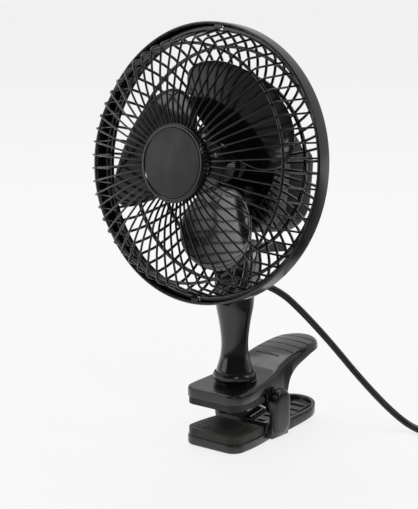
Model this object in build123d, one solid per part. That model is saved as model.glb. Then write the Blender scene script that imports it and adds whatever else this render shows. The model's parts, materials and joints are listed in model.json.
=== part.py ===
from build123d import *
import math
import os

# Clip fan, in millimetres. +X across the clip, +Y towards the handles, +Z up.
# The origin is on the flat underside of the lower jaw, below the middle of the jaws.

# ------------------------------------------------------------------ clip
JAW_HALF = 22.5          # half the width of the jaws
JAW_FRONT = -17.4        # front edge of both jaws
JAW_CORNER = 9.0         # rounding of the jaws' front corners
UPPER_HANDLE = (77.0, 17.0)    # centre along Y and radius of the upper handle's round end
LOWER_HANDLE = (70.5, 19.5)
WAIST_HALF = 18.0        # half width behind the pivot
WALL = 2.6               # wall of the moulded clip halves

FOOT_T = 6.0             # lower jaw, from its underside to its pad
LOWER_PAD_TOP = 11.6
JAW_GAP = 16.8           # clear height between the two pads at rest
UPPER_PAD_BOTTOM = LOWER_PAD_TOP + JAW_GAP
PLATE_BOTTOM = 33.0      # underside of the upper jaw
PLATE_TOP = 39.5
TRAY_TOP = 12.4          # rim of the hollow lower handle at the pivot
TRAY_RIM = 8.0           # and at its low place behind the pivot
TRAY_FLOOR = 2.6
TRAY_RISE_Y = 44.0       # from here back the lower handle slopes up
TRAY_SLOPE = 0.145
PAD_BACK = 16.0
PAD_INSET = 0.8

PIVOT_Y = 30.0
PIVOT_Z = 26.0
PIN_R = 2.0
RUNNING = 0.05           # radial clearance of every turning shaft
EAR_R = 9.0              # upper ears round the pivot
LUG_IN = 21.2            # inner face of the lower jaw's lugs
LUG_OUT = 23.9
LUG_R = 9.3
CAP_T = 2.4
EDGE_R = 2.2             # rounding along the upper jaw's top edge
FOOT_EDGE_R = 1.5        # and along the lower jaw's bottom edge
PAD_GROOVE = 0.8
GROOVE_FIRST = 47.0      # finger grooves on the upper handle
GROOVE_STEP = 8.9
GROOVE_DEPTH = 0.9
GROOVES = 6
SPRING_WIRE_R = 0.8
SPRING_R = 5.4
SPRING_HALF = 7.0
SPRING_TURNS = 4         # whole turns, besides the part turn between the legs
SPRING_LEG = 29.0        # degrees that each leg slopes from the level

# ------------------------------------------------------------------ stalk
STALK_Y = 10.2           # the swivel axis
COLLAR_R = 14.5
COLLAR_TOP = 48.0
SOCKET_R = 12.9
SOCKET_FLOOR = 41.8
FOOT_R = 12.4
TILT_Y = 13.0            # the tilt axis
TILT_Z = 129.0
FORK_R = 9.5
FORK_HALF = 12.6
SLOT_HALF = 4.9
SLOT_FLOOR = 116.0
SWIVEL_SCREW_R = 2.5
BOLT_R = 2.0

# ------------------------------------------------------------------ head, along its own axis
HEAD_TILT = 7.83         # degrees that the head looks up
RING_Y = -19.8           # centre of the guard ring
RING_Z = 191.5
RING_R = 90.0
FRONT_RIBS = 56
FRONT_FIRST = 1.5        # degrees from +X to the first rib
REAR_RIBS = 58
REAR_FIRST = 1.0
RIB = 1.8
GUARD_FACE = 30.6        # how far the front guard's hub stands ahead of the ring
GUARD_BACK = -27.9       # middle of the rear ribs where the bowl is deepest
RIM_TOP = -0.8           # the front rim's face, sunk inside the rear rim
BADGE_R = 25.0
BADGE_DOME_R = 200.0
TABS = 6

HOUSING_HALF = 30.0
HOUSING_LOW = -44.0
HOUSING_FRONT = -29.4
HOUSING_SPLIT = -50.0
HOUSING_BACK = -80.0
HOUSING_STEP = ((-64.8, 31.0), (-66.4, 13.2))    # the rear cover's top steps down between these
HOUSING_WALL = 2.2

SHAFT_R = 3.0
BLADES = 3
BLADE_FIRST = 48.0       # degrees from +X to the middle of the first blade
BLADE_PITCH = 18.0
BLADE_T = 1.8
CAMBER_R = 150.0
HUB_R = 19.0
HUB_WALL = 2.0
STATOR_R = 25.5
BRACKET_R = 27.7
BRACKET_T = 1.2
FRONT_BRACKET = -35.7    # the two brackets' rear faces
REAR_BRACKET = -62.8
MOTOR_BOLT_AT = 23.4     # radius at which the two motor bolts stand
MOTOR_BOLT_R = 1.5
GUARD_SCREW_AT = 22.0

# ------------------------------------------------------------------ cord
CORD_D = 4.7
COIL_R = 26.0            # middle of the coil's turns
COIL_COLUMNS = 4         # turns side by side
COIL_LAYERS = 2
COIL_CENTRE = (132.0, 126.0)
GLAND_ROOT = (0.0, 19.6, 110.0)
ROUTE = [
    (1.8, 40.3, 101.6), (6.5, 53.0, 93.5), (14.0, 64.5, 81.5), (22.0, 75.0, 67.5),
    (31.0, 83.5, 53.0), (42.0, 89.5, 38.0), (54.5, 93.5, 23.5), (68.0, 97.0, 11.0),
    (83.0, 98.0, 3.4), (99.0, 95.6, CORD_D / 2 + 0.05), (117.0, 93.3, CORD_D / 2 + 0.05),
]
TAIL = [
    (141.4, 90.7, CORD_D / 2 + 0.05), (155.0, 93.0, CORD_D / 2 + 0.05),
    (167.5, 87.0, CORD_D / 2 + 0.05), (174.0, 74.5, CORD_D / 2 + 0.05),
    (175.0, 61.5, 3.2), (175.0, 49.0, 6.0),
]
PLUG_LENGTH = 34.0
PIN_LENGTH = 19.0

HEAD = Plane(
    origin=(0, RING_Y, RING_Z),
    x_dir=(1, 0, 0),
    z_dir=(0, -math.cos(math.radians(HEAD_TILT)), math.sin(math.radians(HEAD_TILT))),
)


# ------------------------------------------------------------------ helpers
def on_head(shape):
    """Place a shape drawn about the head's own axis, +Z forward and +Y up."""
    return HEAD.location * shape


def revolved(*points):
    """Turn a closed outline of (radius, height) points about Z."""
    return revolve(Plane.XZ * make_face(Polyline(*points, close=True)), Axis.Z)


def tube(r_out, r_in, low, high):
    return revolved((r_in, low), (r_out, low), (r_out, high), (r_in, high))


def rod(radius, low, high):
    return Pos(0, 0, low) * Cylinder(radius, high - low, align=(Align.CENTER, Align.CENTER, Align.MIN))


def across(radius, x_low, x_high, y, z):
    """A round bar along X."""
    return Pos(x_low, y, z) * Rot(0, 90, 0) * rod(radius, 0, x_high - x_low)


def block(low, high):
    size = [b - a for a, b in zip(low, high)]
    return Pos(*low) * Box(*size, align=(Align.MIN, Align.MIN, Align.MIN))


def side_cut(face, half):
    """A side view outline, drawn as (y, z), made into a bar along X."""
    return Pos(-half, 0, 0) * extrude(Plane.YZ * face, 2 * half)


def mirrored_x(shape):
    return shape + mirror(shape, Plane.YZ)


# ------------------------------------------------------------------ clip
def plan(handle, inset=0.0):
    """The clip's outline from above: blunt front, slim waist, round handle end."""
    half, front, corner = JAW_HALF - inset, JAW_FRONT + inset, JAW_CORNER - inset
    handle_y, end_r = handle[0], handle[1] - inset
    turn = corner * (1 - math.sqrt(0.5))
    right = Curve() + [
        Line((0, front), (half - corner, front)),
        ThreePointArc((half - corner, front), (half - turn, front + turn), (half, front + corner)),
        Spline(
            (half, front + corner), (half, 0), (20.6 - inset, 18), (WAIST_HALF - inset, 38),
            ((WAIST_HALF + end_r - inset) / 2, 56), (end_r, handle_y), tangents=[(0, 1), (0, 1)],
        ),
        ThreePointArc(
            (end_r, handle_y),
            (end_r * math.sqrt(0.5), handle_y + end_r * math.sqrt(0.5)),
            (0, handle_y + end_r),
        ),
    ]
    return make_face(right + mirror(right, Plane.YZ))


def upper_profile():
    """Side view of the upper jaw: plate, ramp and thumb pad over, ears and skirt under."""
    tip = sum(UPPER_HANDLE) + 2
    ear_x, ear_z = PIVOT_Y, PIVOT_Z
    edges = [
        Spline(
            (JAW_FRONT - 1, PLATE_TOP), (5, 41), (20, 43), (33, 45.8), (42.5, 50.2),
            (53, 53.6), (72, 56), (tip, 56.8),
        ),
        Line((tip, 56.8), (tip, 50.4)),
        Line((tip, 50.4), (80, 50.0)),
        Spline(
            (80, 50.0), (67, 46.4), (57, 42.8), (50, 37), (47, 29), tangents=[(-1, 0), (0, -1)],
        ),
        ThreePointArc((47, 29), (41.5, 20.4), (ear_x, ear_z - EAR_R)),
        ThreePointArc(
            (ear_x, ear_z - EAR_R), (ear_x - EAR_R * math.sqrt(0.5), ear_z - EAR_R * math.sqrt(0.5)),
            (ear_x - EAR_R, ear_z),
        ),
        Line((ear_x - EAR_R, ear_z), (19, PLATE_BOTTOM)),
        Line((19, PLATE_BOTTOM), (JAW_FRONT - 1, PLATE_BOTTOM)),
        Line((JAW_FRONT - 1, PLATE_BOTTOM), (JAW_FRONT - 1, PLATE_TOP)),
    ]
    return make_face(Curve() + edges)


def upper_hollow():
    edges = [
        Spline((21.5, 40.2), (33, 43.0), (43, 47.6), (53, 50.8), (72, 53.2), (96, 53.8)),
        Line((96, 53.8), (96, 5)),
        Line((96, 5), (21.5, 5)),
        Line((21.5, 5), (21.5, 40.2)),
    ]
    return side_cut(make_face(Curve() + edges), 40)


def finger_grooves():
    """Shallow grooves across the thumb pad, of one depth all along its slope."""
    floor = Pos(0, 0, -GROOVE_DEPTH) * side_cut(upper_profile(), 40)
    places = [GROOVE_FIRST + GROOVE_STEP * i for i in range(GROOVES)]
    return [block((-16, y - 0.7, 50.8), (16, y + 0.7, 70)) - floor for y in places]


def swivel_collar():
    outside = revolved(
        (0, 38), (10.6, 38), (11.4, 41), (COLLAR_R, 44.2), (COLLAR_R, COLLAR_TOP - 0.8),
        (COLLAR_R - 0.8, COLLAR_TOP), (0, COLLAR_TOP),
    )
    return Pos(0, STALK_Y, 0) * outside


def rounded_edge(body, up, radius):
    """Round the outer edge of a clip half's broad top (up = 1) or bottom (up = -1) face."""
    broad = [f for f in body.faces() if up * f.normal_at(f.center()).Z > 0.7]
    return fillet(max(broad, key=lambda f: f.area).edges(), radius)


def upper_jaw():
    body = side_cut(upper_profile(), 40) & extrude(plan(UPPER_HANDLE), 80)
    inner = upper_hollow() & extrude(plan(UPPER_HANDLE, WALL), 80)
    body = rounded_edge(body, 1, EDGE_R) - inner + swivel_collar()
    body -= Pos(0, STALK_Y, 0) * rod(SOCKET_R, SOCKET_FLOOR, 60)
    body -= Pos(0, STALK_Y, 0) * rod(SWIVEL_SCREW_R + RUNNING, 20, 60)
    body -= Pos(0, STALK_Y, 0) * rod(7.0, PLATE_BOTTOM - 1, 37)
    body -= across(PIN_R + RUNNING, -30, 30, PIVOT_Y, PIVOT_Z)
    for cut in finger_grooves():
        body -= cut
    return body


def jaw_pad(low, high, face):
    """A rubber pad between two heights, with grooves across its gripping face."""
    pad = extrude(plan(UPPER_HANDLE, PAD_INSET), 80) & block((-40, -40, low), (40, PAD_BACK, high))
    for y in range(-11, 13, 4):
        pad -= block((-18, y - 0.6, face - PAD_GROOVE), (18, y + 0.6, face + PAD_GROOVE))
    return pad


def lower_pad():
    return jaw_pad(FOOT_T, LOWER_PAD_TOP, LOWER_PAD_TOP)


def upper_pad():
    return jaw_pad(UPPER_PAD_BOTTOM, PLATE_BOTTOM, UPPER_PAD_BOTTOM)


def lower_lug():
    """One of the two lugs that carry the pivot pin, standing outside the upper ears."""
    edges = [
        Line((PIVOT_Y - LUG_R, 2), (PIVOT_Y + LUG_R, 2)),
        Line((PIVOT_Y + LUG_R, 2), (PIVOT_Y + LUG_R, PIVOT_Z)),
        ThreePointArc(
            (PIVOT_Y + LUG_R, PIVOT_Z), (PIVOT_Y, PIVOT_Z + LUG_R), (PIVOT_Y - LUG_R, PIVOT_Z)
        ),
        Line((PIVOT_Y - LUG_R, PIVOT_Z), (PIVOT_Y - LUG_R, 2)),
    ]
    plate = extrude(Plane.YZ * make_face(Curve() + edges), LUG_OUT)
    plate -= block((-1, 0, -1), (LUG_IN, 60, 60))
    shelf = block((15, PIVOT_Y - LUG_R, 2), (LUG_OUT, PIVOT_Y + LUG_R, TRAY_TOP))
    return plate + shelf


def tray_floor(y):
    return TRAY_FLOOR + max(0.0, y - TRAY_RISE_Y) * TRAY_SLOPE


def above_floor(low, high, y_low, y_high):
    """A side view band that follows the tray's floor between two heights over it."""
    stops = [y_low, max(y_low, TRAY_RISE_Y), y_high]
    return make_face(Polyline(
        *[(y, tray_floor(y) + low) for y in sorted(set(stops))],
        *[(y, tray_floor(y) + high) for y in sorted(set(stops), reverse=True)], close=True,
    ))


def lower_jaw():
    tip = sum(LOWER_HANDLE) + 2
    profile = make_face(Polyline(
        (JAW_FRONT - 1, 0), (tip, 0), (tip, tray_floor(tip) + 3.2), (46, TRAY_RIM),
        (PIVOT_Y + LUG_R, TRAY_TOP), (20.5, TRAY_TOP), (17.5, FOOT_T), (JAW_FRONT - 1, FOOT_T),
        close=True,
    ))
    body = rounded_edge(side_cut(profile, 40) & extrude(plan(LOWER_HANDLE), 80), -1, FOOT_EDGE_R)
    body -= side_cut(above_floor(-20, -TRAY_FLOOR, TRAY_RISE_Y, tip + 5), 40)
    hollow = extrude(plan(LOWER_HANDLE, WALL), 80) & side_cut(above_floor(0, 60, 21.5, tip + 5), 40)
    body = body - hollow + mirrored_x(lower_lug())
    body -= across(PIN_R, -30, 30, PIVOT_Y, PIVOT_Z)
    for y in (48, 56, 64, 72, 80):
        body -= block((-9, y - 1.5, -1), (9, y + 1.5, tray_floor(y) + 1))
    rib = side_cut(above_floor(-0.4, 2.6, TRAY_RISE_Y, 82), 0.8)
    return body + [Pos(x, 0, 0) * rib for x in (-12.6, 12.6)]


def pivot_pin():
    return across(PIN_R, -LUG_OUT, LUG_OUT, PIVOT_Y, PIVOT_Z)


def pivot_caps():
    """The domed covers over the two ends of the pivot pin."""
    r = LUG_R - 0.3
    low = r + 3.5
    outline = make_face(Curve() + [
        ThreePointArc((PIVOT_Y + r, PIVOT_Z), (PIVOT_Y, PIVOT_Z + r), (PIVOT_Y - r, PIVOT_Z)),
        Line((PIVOT_Y - r, PIVOT_Z), (PIVOT_Y - r, low)),
        ThreePointArc((PIVOT_Y - r, low), (PIVOT_Y, low - r), (PIVOT_Y + r, low)),
        Line((PIVOT_Y + r, low), (PIVOT_Y + r, PIVOT_Z)),
    ])
    cap = Pos(LUG_OUT, 0, 0) * extrude(Plane.YZ * outline, CAP_T)
    cap = fillet(cap.faces().sort_by(Axis.X)[-1].edges(), 1.9)
    return [cap, mirror(cap, Plane.YZ)]


def torsion_spring():
    """Wire coiled round the pin, with one leg under the upper handle and one on the tray."""
    part_turn = (180 - 2 * SPRING_LEG) / 360
    pitch = 2 * SPRING_HALF / (SPRING_TURNS + part_turn)
    start = Plane(origin=(-SPRING_HALF, PIVOT_Y, PIVOT_Z), x_dir=(0, 1, 0), z_dir=(1, 0, 0))
    coils = start.location * Rot(0, 0, 90 + SPRING_LEG) * Helix(pitch, 2 * SPRING_HALF, SPRING_R)
    top, bottom = coils @ 0, coils @ 1
    upper_leg, lower_leg = -(coils % 0), coils % 1
    clear = bottom.Z - TRAY_FLOOR - (bottom.Y - TRAY_RISE_Y) * TRAY_SLOPE - SPRING_WIRE_R - 0.15
    reach = clear / (TRAY_SLOPE * lower_leg.Y - lower_leg.Z)
    path = Wire([
        Line(top + upper_leg * 41, top), coils.edge(),
        Line(bottom, bottom + lower_leg * reach),
    ])
    section = Plane(origin=path @ 0, z_dir=path % 0) * Circle(SPRING_WIRE_R)
    return sweep(section, path=path, is_frenet=True)


# ------------------------------------------------------------------ stalk
def stalk():
    profile = make_face(Curve() + [
        Line((0, 42.1), (FOOT_R, 42.1)),
        Line((FOOT_R, 42.1), (FOOT_R, 48.8)),
        Spline(
            (FOOT_R, 48.8), (11.4, 52.5), (10.1, 57), (9.2, 62.5), (9.0, 67), (9.4, 73.5),
            (10.15, 79.5), (11.3, 86), (12.45, 92), (13.0, 98), (13.0, 112),
        ),
        Line((13.0, 112), (0, 112)),
        Line((0, 112), (0, 42.1)),
    ])
    column = Pos(0, STALK_Y, 0) * revolve(Plane.XZ * profile, Axis.Z)
    column -= side_cut(make_face(Polyline(
        (-20, 95.5), (-2.6, 95.5), (2.4, 102), (2.4, 130), (-20, 130), close=True,
    )), 20)
    fork = make_face(Curve() + [
        Line((TILT_Y - FORK_R, TILT_Z), (TILT_Y - FORK_R, 104)),
        Line((TILT_Y - FORK_R, 104), (TILT_Y + FORK_R, 104)),
        Line((TILT_Y + FORK_R, 104), (TILT_Y + FORK_R, TILT_Z)),
        ThreePointArc(
            (TILT_Y + FORK_R, TILT_Z), (TILT_Y, TILT_Z + FORK_R), (TILT_Y - FORK_R, TILT_Z)
        ),
    ])
    body = column + side_cut(fork, FORK_HALF - 0.6)
    body -= block((-SLOT_HALF, -20, SLOT_FLOOR), (SLOT_HALF, 60, 160))
    body -= across(BOLT_R, -30, 30, TILT_Y, TILT_Z)
    body -= across(4.2, FORK_HALF - 3.0, 30, TILT_Y, TILT_Z)
    body -= across(4.2, -30, -(FORK_HALF - 3.0), TILT_Y, TILT_Z)
    body -= Pos(0, STALK_Y, 0) * rod(SWIVEL_SCREW_R, 30, 66)
    return body - cord_gland()


def tilt_bolt():
    reach = FORK_HALF - 3.0
    shank = across(BOLT_R, -reach, reach, TILT_Y, TILT_Z)
    head = across(3.9, reach, reach + 2.6, TILT_Y, TILT_Z)
    slot = block((reach + 1.6, TILT_Y - 0.5, TILT_Z - 5), (reach + 4, TILT_Y + 0.5, TILT_Z + 5))
    return shank + head - slot


def tilt_nut():
    reach = FORK_HALF - 3.0
    hexagon = Pos(-reach, TILT_Y, TILT_Z) * Rot(0, -90, 0) * extrude(RegularPolygon(3.9, 6), 2.4)
    return hexagon


def swivel_screw():
    head = rod(4.4, 33.7, 36.1)
    shank = rod(SWIVEL_SCREW_R, 36.1, 62)
    cross = block((-3, -0.5, 33), (3, 0.5, 34.9)) + block((-0.5, -3, 33), (0.5, 3, 34.9))
    return Pos(0, STALK_Y, 0) * (head + shank - cross)


def swivel_washer():
    return Pos(0, STALK_Y, 0) * tube(6.5, SWIVEL_SCREW_R, 36.1, 36.9)


# ------------------------------------------------------------------ guards
def guard_rib(route, radii):
    """One rib, a flat strip bent in the plane of the head's axis."""
    line = FilletPolyline(*route, radius=radii)
    return extrude(Plane.XZ * trace(line, RIB), RIB / 2, both=True)


def around(shape, count, first=0.0):
    return [Rot(0, 0, first + 360 / count * i) * shape for i in range(count)]


def front_guard():
    rib = guard_rib(
        [(21.5, GUARD_FACE - 0.3), (37, 33.2), (57, 29), (78.4, 21.2), (85.6, -2.8)], [40, 80, 5]
    )
    rim = revolved(
        (84.2, -4.8), (88, -4.8), (88, RIM_TOP - 0.8), (87.2, RIM_TOP), (84.9, RIM_TOP),
        (84.2, RIM_TOP - 0.7),
    )
    shoulder = tube(76.3, 74.3, 20.6, 22.4)
    hub = revolved(
        (19.5, GUARD_FACE - 3.0), (24.2, GUARD_FACE - 3.0), (24.2, GUARD_FACE + 1.2),
        (19.5, GUARD_FACE + 1.2),
    )
    body = rim + shoulder + hub + around(rib, FRONT_RIBS, FRONT_FIRST)
    for slot in around(block((85, -3.4, -6), (87.6, 3.4, 1)), TABS, 30):
        body -= slot
    return on_head(body)


def rear_guard():
    rib = guard_rib(
        [(33, GUARD_BACK), (52, GUARD_BACK), (70, -21.8), (79.5, -14.5), (84.9, -5.9)], [60, 40, 14]
    )
    rim = revolved(
        (83.8, -7), (89.2, -7), (RING_R, -6.2), (RING_R, 3.9), (89.4, 4.6), (88.8, 4.6),
        (88.3, 4), (88.3, -4.9), (83.8, -4.9),
    )
    bands = tube(59.9, 57.7, -27, -24.4) + tube(76.3, 74.1, -19.2, -16.6)
    plate = revolved(
        (10.5, -29.2), (34.5, -29.2), (34.5, -26.4), (30, -26.4), (30, -27.2), (10.5, -27.2)
    )
    body = rim + bands + plate + around(rib, REAR_RIBS, REAR_FIRST)
    for inner in (85.0, 86.65):
        for slit in around(block((inner, -3.4, -8), (inner + 0.85, 3.4, -4.9)), TABS, 30):
            body -= slit
    hook = block((85.9, -2.8, -5), (86.6, 2.8, 0.4)) + block((85.9, -2.8, -0.7), (88.1, 2.8, 0.4))
    body += around(hook, TABS, 30)
    for hole in around(Pos(GUARD_SCREW_AT, 0, 0) * rod(1.5, -34, -24), 4, 45):
        body -= hole
    return on_head(body)


def badge_cap():
    """The round front cap, a shallow dome in a raised rim, left bare."""
    low = GUARD_FACE + 1.2
    top = low + 4.3
    rim = make_face(Curve() + [
        Line((17.2, low), (BADGE_R - 0.6, low)),
        ThreePointArc((BADGE_R - 0.6, low), (BADGE_R, low + 1.6), (BADGE_R - 1.2, low + 3.6)),
        Line((BADGE_R - 1.2, low + 3.6), (BADGE_R - 2.6, low + 2.4)),
        Line((BADGE_R - 2.6, low + 2.4), (17.2, low + 2.4)),
        Line((17.2, low + 2.4), (17.2, low)),
    ])
    cap = revolve(Plane.XZ * rim, Axis.Z) + tube(18.9, 17.2, low - 3.4, low + 0.1)
    cap += rod(BADGE_R - 2.6, low, top) & Pos(0, 0, top - BADGE_DOME_R) * Sphere(BADGE_DOME_R)
    return on_head(cap)


def guard_screws():
    screw = rod(2.9, -27.2, -25.4) + rod(1.5, -34, -27.2)
    screw -= block((-2.2, -0.4, -26.2), (2.2, 0.4, -25)) + block((-0.4, -2.2, -26.2), (0.4, 2.2, -25))
    return [on_head(s) for s in around(Pos(GUARD_SCREW_AT, 0, 0) * screw, 4, 45)]


# ------------------------------------------------------------------ fan and motor
def blade():
    """One leaf: a sheet bent to a large radius, set at the pitch and cut to its outline."""
    leaf = make_face(Curve() + [
        Spline(
            (15, 8.5), (20.5, 24), (30, 36.5), (40, 42), (51, 39.5), (61.5, 28.5), (68, 8),
            (67.5, -10), (61, -26), (49, -36), (36, -36.5), (24, -28), (15, -8.5),
        ),
        Line((15, -8.5), (15, 8.5)),
    ])
    sheet = tube(CAMBER_R, CAMBER_R - BLADE_T, 0, 90)
    bent = Pos(0, 0, CAMBER_R - 2.2) * Rot(0, 90, 0) * sheet
    whole = extrude(leaf, 45, both=True) & (Rot(BLADE_PITCH, 0, 0) * bent)
    return whole - rod(HUB_R - HUB_WALL / 2, -40, 40)


def fan_blade():
    inner = HUB_R - HUB_WALL
    hub = revolved(
        (0, 6.4), (inner, 6.4), (inner, -11), (HUB_R, -11), (HUB_R, 5), (HUB_R - 1.6, 8.6),
        (HUB_R - 6, 12.0), (8, 14.4), (0, 15.2),
    )
    sleeve = tube(6.2, SHAFT_R, -9, 6.6)
    return on_head(hub + around(blade(), BLADES, BLADE_FIRST) + sleeve)


def motor_shaft():
    return on_head(rod(SHAFT_R, -67, 6.4))


def rotor():
    return on_head(tube(13.2, SHAFT_R, -58, -41))


def motor_bolt_places(shape):
    return around(Pos(MOTOR_BOLT_AT, 0, 0) * shape, 2)


def stator_core():
    ring = tube(STATOR_R, 13.7, -57, -42)
    for slot in around(block((15.5, -3.0, -60), (21.5, 3.0, -40)), 6, 30):
        ring -= slot
    for hole in motor_bolt_places(rod(MOTOR_BOLT_R, -60, -40)):
        ring -= hole
    return on_head(ring)


def stator_coils():
    return [on_head(tube(20.5, 15.2, low, low + 3.6)) for low in (-60.6, -42.0)]


def motor_bolts():
    """Two long bolts through the rear bracket, the stator core and the front bracket."""
    front = FRONT_BRACKET + BRACKET_T
    bolt = rod(MOTOR_BOLT_R, REAR_BRACKET, front + 2) + rod(2.7, REAR_BRACKET - 1.8, REAR_BRACKET)
    nut = Pos(0, 0, front) * extrude(RegularPolygon(2.9, 6), 1.8)
    return [on_head(place) for place in motor_bolt_places(bolt + nut)]


def bearing_bracket(rear, cup_end):
    """A pressed plate across the housing, with a cup on its outer side for the bearing."""
    plate = tube(BRACKET_R, 9.6, rear, rear + BRACKET_T)
    cup = tube(9.6, 6.5, min(rear, cup_end), max(rear + BRACKET_T, cup_end))
    for hole in motor_bolt_places(rod(MOTOR_BOLT_R, rear - 1, rear + BRACKET_T + 1)):
        plate -= hole
    return on_head(plate + cup)


def bearing(low, high):
    return on_head(tube(6.5, SHAFT_R + RUNNING, low, high))


def housing_outline(inset=0.0):
    half, low, corner = HOUSING_HALF - inset, HOUSING_LOW + inset, 23.0 - inset
    turn = corner * (1 - math.sqrt(0.5))
    right = Curve() + [
        ThreePointArc((0, half), (half * math.sqrt(0.5), half * math.sqrt(0.5)), (half, 0)),
        Line((half, 0), (half, low + corner)),
        ThreePointArc((half, low + corner), (half - turn, low + turn), (half - corner, low)),
        Line((half - corner, low), (0, low)),
    ]
    return make_face(right + mirror(right, Plane.YZ))


def tilt_tongue():
    """The tongue that hangs from the motor housing into the stalk's fork, and its grip."""
    pivot = HEAD.location.inverse() * Pos(0, TILT_Y, TILT_Z)
    v, w = pivot.position.Y, pivot.position.Z
    half, r = SLOT_HALF - 0.4, 8.4
    outline = make_face(Curve() + [
        Line((w + r, v), (w + r, HOUSING_LOW + 3)),
        Line((w + r, HOUSING_LOW + 3), (w - r, HOUSING_LOW + 3)),
        Line((w - r, HOUSING_LOW + 3), (w - r, v)),
        ThreePointArc((w - r, v), (w, v - r), (w + r, v)),
    ])
    grip = block((-half, v - 0.9, -90), (half, v + 4.9, w))
    grip = fillet(grip.faces().sort_by(Axis.Z)[0].edges(), 1.6)
    swap = Plane(origin=(0, 0, 0), x_dir=(0, 0, 1), z_dir=(1, 0, 0))
    tongue = extrude(swap * mirror(outline, Plane.XZ), half, both=True)
    tongue += grip
    return tongue - Pos(-30, v, w) * Rot(0, 90, 0) * rod(BOLT_R + RUNNING, 0, 60)


def front_housing():
    shell = Pos(0, 0, HOUSING_SPLIT) * extrude(housing_outline(), HOUSING_FRONT - HOUSING_SPLIT)
    shell = fillet(shell.faces().sort_by(Axis.Z)[-1].edges(), 3.0)
    inner = Pos(0, 0, HOUSING_SPLIT) * extrude(
        housing_outline(HOUSING_WALL), HOUSING_FRONT - HOUSING_WALL - HOUSING_SPLIT
    )
    shell = shell - inner - rod(10.5, -40, -20)
    post = rod(3.4, FRONT_BRACKET + BRACKET_T, HOUSING_FRONT - HOUSING_WALL)
    shell += around(Pos(GUARD_SCREW_AT, 0, 0) * post, 4, 45)
    for hole in around(Pos(GUARD_SCREW_AT, 0, 0) * rod(1.5, -34, -20), 4, 45):
        shell -= hole
    return on_head(shell + tilt_tongue())


def rear_block(inset):
    """The rear cover's outer form, or what it holds, with the top lower behind the motor."""
    back = HOUSING_BACK + inset
    (step_w, step_v), (low_w, low_v) = HOUSING_STEP
    step_w, low_w = step_w + inset, low_w + inset
    body = Pos(0, 0, back) * extrude(housing_outline(inset), HOUSING_SPLIT - HOUSING_BACK)
    above = Plane.YZ * make_face(Polyline(
        (step_v, step_w), (low_v - inset, low_w), (low_v - inset, back - 5), (60, back - 5),
        (60, step_w), close=True,
    ))
    body -= extrude(above, 50, both=True)
    upright = [e for e in body.edges().filter_by(Axis.Z) if e.center().Y > low_v - inset - 1]
    body = fillet(upright, 8.0 - inset)
    return fillet(body.faces().sort_by(Axis.Z)[0].edges(), 6.0 - inset * 0.8)


def rear_housing():
    shell = rear_block(0.0) - rear_block(HOUSING_WALL)
    for x in range(-18, 19, 6):
        shell -= Pos(x, 2.5 - abs(x) * 0.12, HOUSING_BACK) * Box(2.4, 11, 8)
    shell -= Pos(0, -20, 0) * rod(3.5, HOUSING_BACK - 2, -70)
    for x in (-18, 18):
        shell += Pos(x, -30, 0) * tube(3.4, 1.5, HOUSING_BACK + 1, -52)
        shell -= Pos(x, -30, 0) * rod(1.5, -90, -50)
        shell -= Pos(x, -30, 0) * rod(3.1, -90, HOUSING_BACK + 1.6)
    return on_head(shell)


def housing_screws():
    screws = []
    for x in (-18, 18):
        screw = rod(2.8, HOUSING_BACK, HOUSING_BACK + 1.6) + rod(1.5, HOUSING_BACK + 1.6, -54)
        screw -= block((-2, -0.4, HOUSING_BACK - 1), (2, 0.4, HOUSING_BACK + 0.7))
        screws.append(on_head(Pos(x, -30, 0) * screw))
    return screws


def switch_body():
    return on_head(block((-8, -28, -77.7), (8, -12, -67)))


def speed_knob():
    disc = rod(9.5, -88.5, -80.6) - tube(12, 8.6, -90, -87.6)
    grip = block((-1.6, -9, -90.5), (1.6, 9, -85))
    stem = rod(3.0, -81, -77.9)
    return on_head(Pos(0, -20, 0) * (disc + grip + stem))


# ------------------------------------------------------------------ cord
def corner_radii(points):
    radii = []
    for a, b, c in zip(points, points[1:], points[2:]):
        one, two = Vector(b) - Vector(a), Vector(c) - Vector(b)
        half_turn = math.radians(one.get_angle(two)) / 2
        radii.append(0.45 * min(one.length, two.length) / math.tan(half_turn))
    return radii


def cord_tube(name, points):
    radii = corner_radii(points)
    path = FilletPolyline(*points, radius=radii)
    section = Plane(origin=path @ 0, z_dir=path % 0) * Circle(CORD_D / 2)
    solid = sweep(section, path=path)
    print(name, "length", round(path.length, 1), "radii", [round(r) for r in radii])
    ratio = solid.volume / (math.pi * CORD_D**2 / 4 * path.length)
    print(name, "volume over section times length", round(ratio, 4))
    return solid


def cord_coil():
    half = CORD_D * COIL_COLUMNS / 2
    ring = tube(COIL_R + half, COIL_R - half, 0.0, COIL_LAYERS * CORD_D)
    return Pos(COIL_CENTRE[0], COIL_CENTRE[1], 0) * ring


def cord_gland():
    root, tip = Vector(*GLAND_ROOT), Vector(*ROUTE[0])
    length = (tip - root).length
    sleeve = revolved((0, -3), (4.4, -3), (4.4, 4), (4.0, 6), (2.9, length), (0, length))
    return Plane(origin=root, z_dir=tip - root).location * sleeve


def plug_parts():
    end, before = Vector(*TAIL[-1]), Vector(*TAIL[-2])
    way = Vector(end.X - before.X, end.Y - before.Y, 0).normalized()
    frame = Plane(origin=(end.X, end.Y, end.Z), x_dir=(-way.Y, way.X, 0), z_dir=way)
    neck = extrude(Circle(3.4), 8)
    body = loft([Pos(0, 0, 6) * RectangleRounded(12, 9, 3), Pos(0, 0, 14) * RectangleRounded(27, 12, 4)])
    face = Pos(0, 0, 14) * extrude(RectangleRounded(27, 12, 4), PLUG_LENGTH - 14)
    pins = [Pos(x, 0, 0) * rod(2.0, PLUG_LENGTH, PLUG_LENGTH + PIN_LENGTH) for x in (-9.5, 9.5)]
    return frame.location * (neck + body + face), [frame.location * p for p in pins]


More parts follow.
